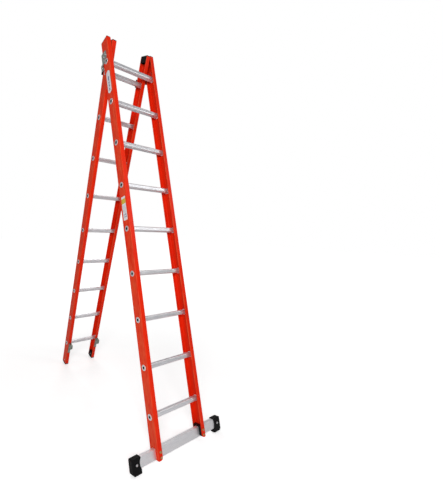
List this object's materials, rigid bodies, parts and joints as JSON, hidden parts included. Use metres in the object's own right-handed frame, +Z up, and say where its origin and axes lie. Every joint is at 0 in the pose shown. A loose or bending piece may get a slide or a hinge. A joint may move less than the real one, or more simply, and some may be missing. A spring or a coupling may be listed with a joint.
{
  "type": "two-section trestle and extension ladder",
  "caption": "Glass-fibre two-section ladder that stands as a trestle or closes into an extension ladder, with aluminium rungs and a foot stabiliser bar.",
  "frame": {"origin": "on the ground, in the middle of the standing ladder's plan box", "axes": "+X along the rungs from left to right, +Y from the base section's feet towards the fly section's feet, +Z up"},
  "size_m": [0.726, 1.512, 2.5697],
  "materials": {
    "grp_orange": "pigmented glass-fibre channel, satin to glossy orange-red",
    "rung_aluminium": "extruded, mill finish with fine grips",
    "bar_aluminium": "extruded box, mill finish",
    "cast_aluminium": "cast, tumbled",
    "black_rubber": "moulded, matt black",
    "black_plastic": "moulded nylon, matt black",
    "zinc_steel": "zinc plated pressed steel",
    "zinc_fasteners": "zinc plated bolts, nuts and pins",
    "rivet_metal": "blind rivets",
    "label_film": "printed plastic film with no text"
  },
  "bodies": {
    "base": {"base_rung_1": "rung_aluminium", "base_rung_2": "rung_aluminium", "base_rung_3": "rung_aluminium", "base_rung_4": "rung_aluminium", "base_rung_5": "rung_aluminium", "base_rung_6": "rung_aluminium", "base_rung_7": "rung_aluminium", "base_rung_8": "rung_aluminium", "base_rung_9": "rung_aluminium", "base_stile_left": "grp_orange", "base_stile_right": "grp_orange", "base_top_plug_left": "black_plastic", "base_top_plug_right": "black_plastic", "bracket_rivets": "rivet_metal", "foot_bolts": "zinc_fasteners", "foot_nuts": "zinc_fasteners", "guide_bracket_left": "zinc_steel", "guide_bracket_right": "zinc_steel", "guide_pin_left": "zinc_fasteners", "guide_pin_right": "zinc_fasteners", "oval_label": "label_film", "plain_label": "label_film", "saddle_bolts": "zinc_fasteners", "saddle_nuts": "zinc_fasteners", "stabiliser_bar": "bar_aluminium", "stabiliser_foot_left": "black_rubber", "stabiliser_foot_right": "black_rubber", "stabiliser_saddle_left": "black_plastic", "stabiliser_saddle_right": "black_plastic"},
    "carriage": {"guide_shoe_left": "black_plastic", "guide_shoe_right": "black_plastic"},
    "fly": {"boot_rivets": "rivet_metal", "fly_boot_left": "black_rubber", "fly_boot_right": "black_rubber", "fly_rung_1": "rung_aluminium", "fly_rung_2": "rung_aluminium", "fly_rung_3": "rung_aluminium", "fly_rung_4": "rung_aluminium", "fly_rung_5": "rung_aluminium", "fly_rung_6": "rung_aluminium", "fly_rung_7": "rung_aluminium", "fly_rung_8": "rung_aluminium", "fly_rung_9": "rung_aluminium", "fly_stile_left": "grp_orange", "fly_stile_right": "grp_orange", "fly_top_plug_left": "black_plastic", "fly_top_plug_right": "black_plastic", "hook_rivets": "rivet_metal", "rung_hook_left": "cast_aluminium", "rung_hook_right": "cast_aluminium"}
  },
  "joints": [
    {"name": "spread", "type": "hinge", "parent": "base", "child": "carriage", "pos_m": [0, 0.05075, 2.41863], "axis": [1, 0, 0], "range_deg": [-32, 0]},
    {"name": "fly_slide", "type": "slide", "parent": "carriage", "child": "fly", "axis": [0, -0.2825, 0.9593], "range_m": [-0.01, 1.67]}
  ]
}
